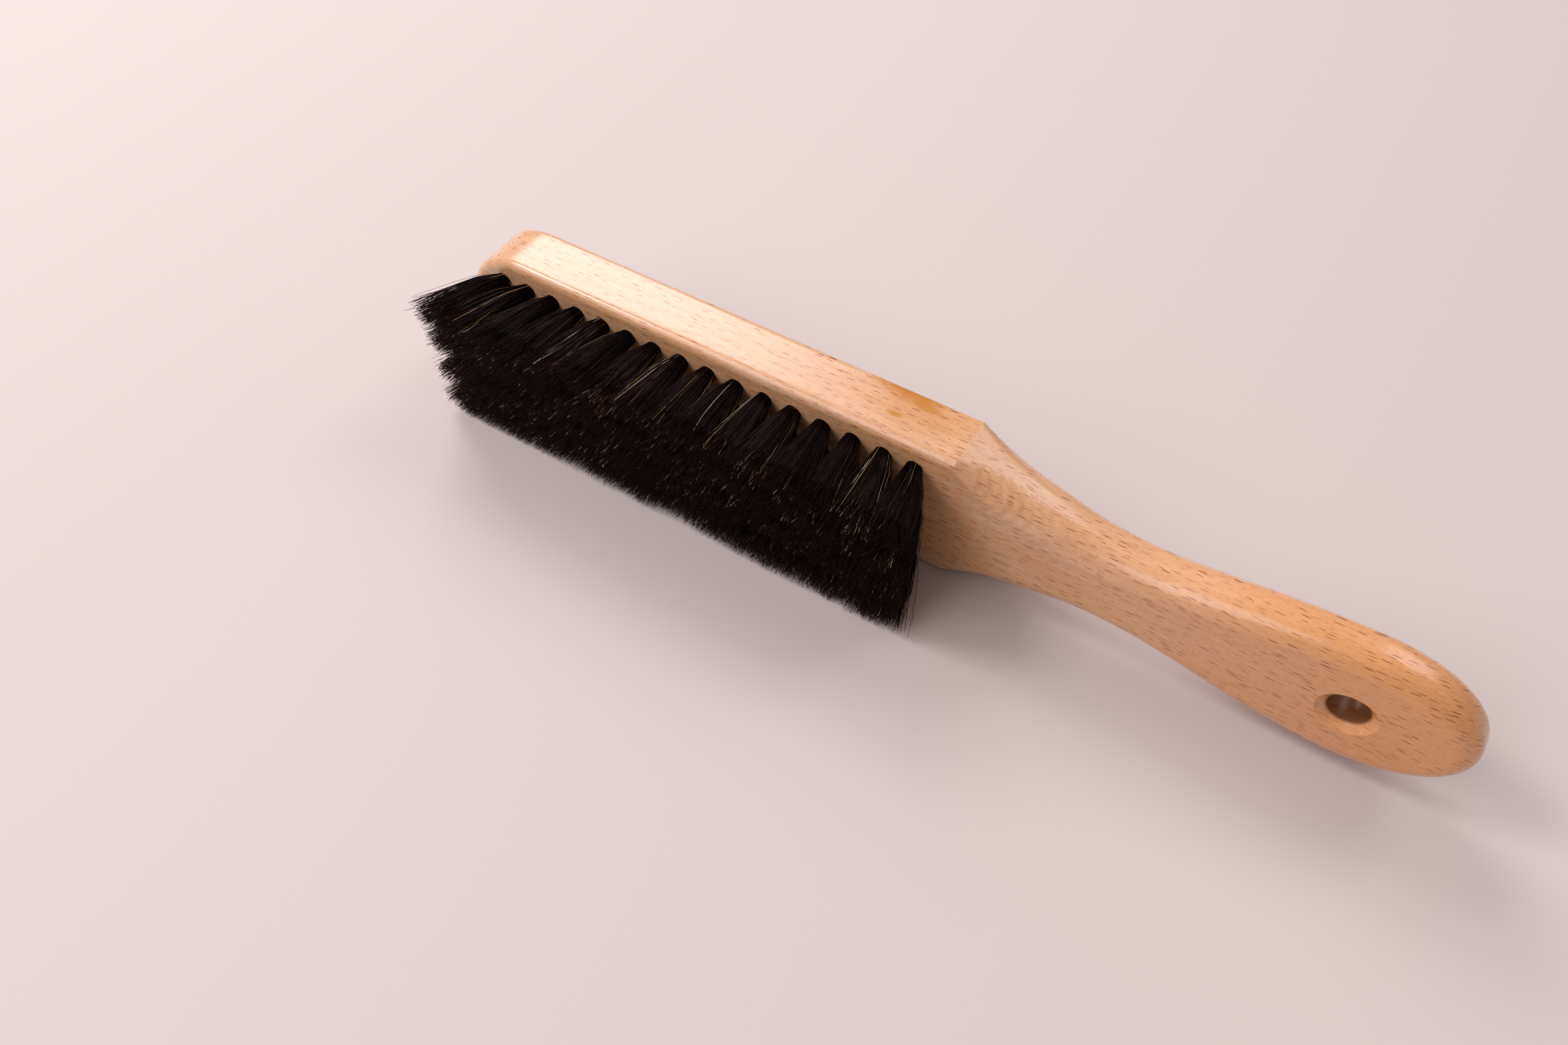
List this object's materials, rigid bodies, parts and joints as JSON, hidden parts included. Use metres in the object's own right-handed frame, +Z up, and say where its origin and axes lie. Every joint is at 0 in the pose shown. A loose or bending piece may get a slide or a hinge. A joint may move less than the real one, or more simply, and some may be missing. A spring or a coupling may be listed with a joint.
{
  "type": "clothes brush",
  "caption": "Handled clothes brush: a one-piece beech block and handle with rows of black hair tufts held by hidden steel anchors, and a hanging hole.",
  "frame": {"origin": "middle of the bounding box in X and Y, on the surface that the brush lies on", "axes": "+X along the brush from the toe to the handle's tip; the bristles point to -Y; +Z up, with the brush lying on its long side as it is laid down"},
  "size_m": [0.2918, 0.0426, 0.0456],
  "materials": {
    "beech": "satin",
    "hair": "satin",
    "anchor_steel": "satin"
  },
  "bodies": {
    "root": {"brush_body": "beech", "tufts_01": "hair", "tufts_02": "hair", "tufts_03": "hair", "tufts_04": "hair", "tufts_05": "hair", "tufts_06": "hair", "tufts_07": "hair", "tufts_08": "hair", "tufts_09": "hair", "tufts_10": "hair", "tufts_11": "hair", "tufts_12": "hair", "tufts_13": "hair", "tufts_14": "hair", "tufts_15": "hair", "tufts_16": "hair", "anchors_01": "anchor_steel", "anchors_02": "anchor_steel", "anchors_03": "anchor_steel", "anchors_04": "anchor_steel", "anchors_05": "anchor_steel", "anchors_06": "anchor_steel", "anchors_07": "anchor_steel", "anchors_08": "anchor_steel", "anchors_09": "anchor_steel", "anchors_10": "anchor_steel", "anchors_11": "anchor_steel", "anchors_12": "anchor_steel", "anchors_13": "anchor_steel", "anchors_14": "anchor_steel", "anchors_15": "anchor_steel", "anchors_16": "anchor_steel"}
  },
  "joints": []
}
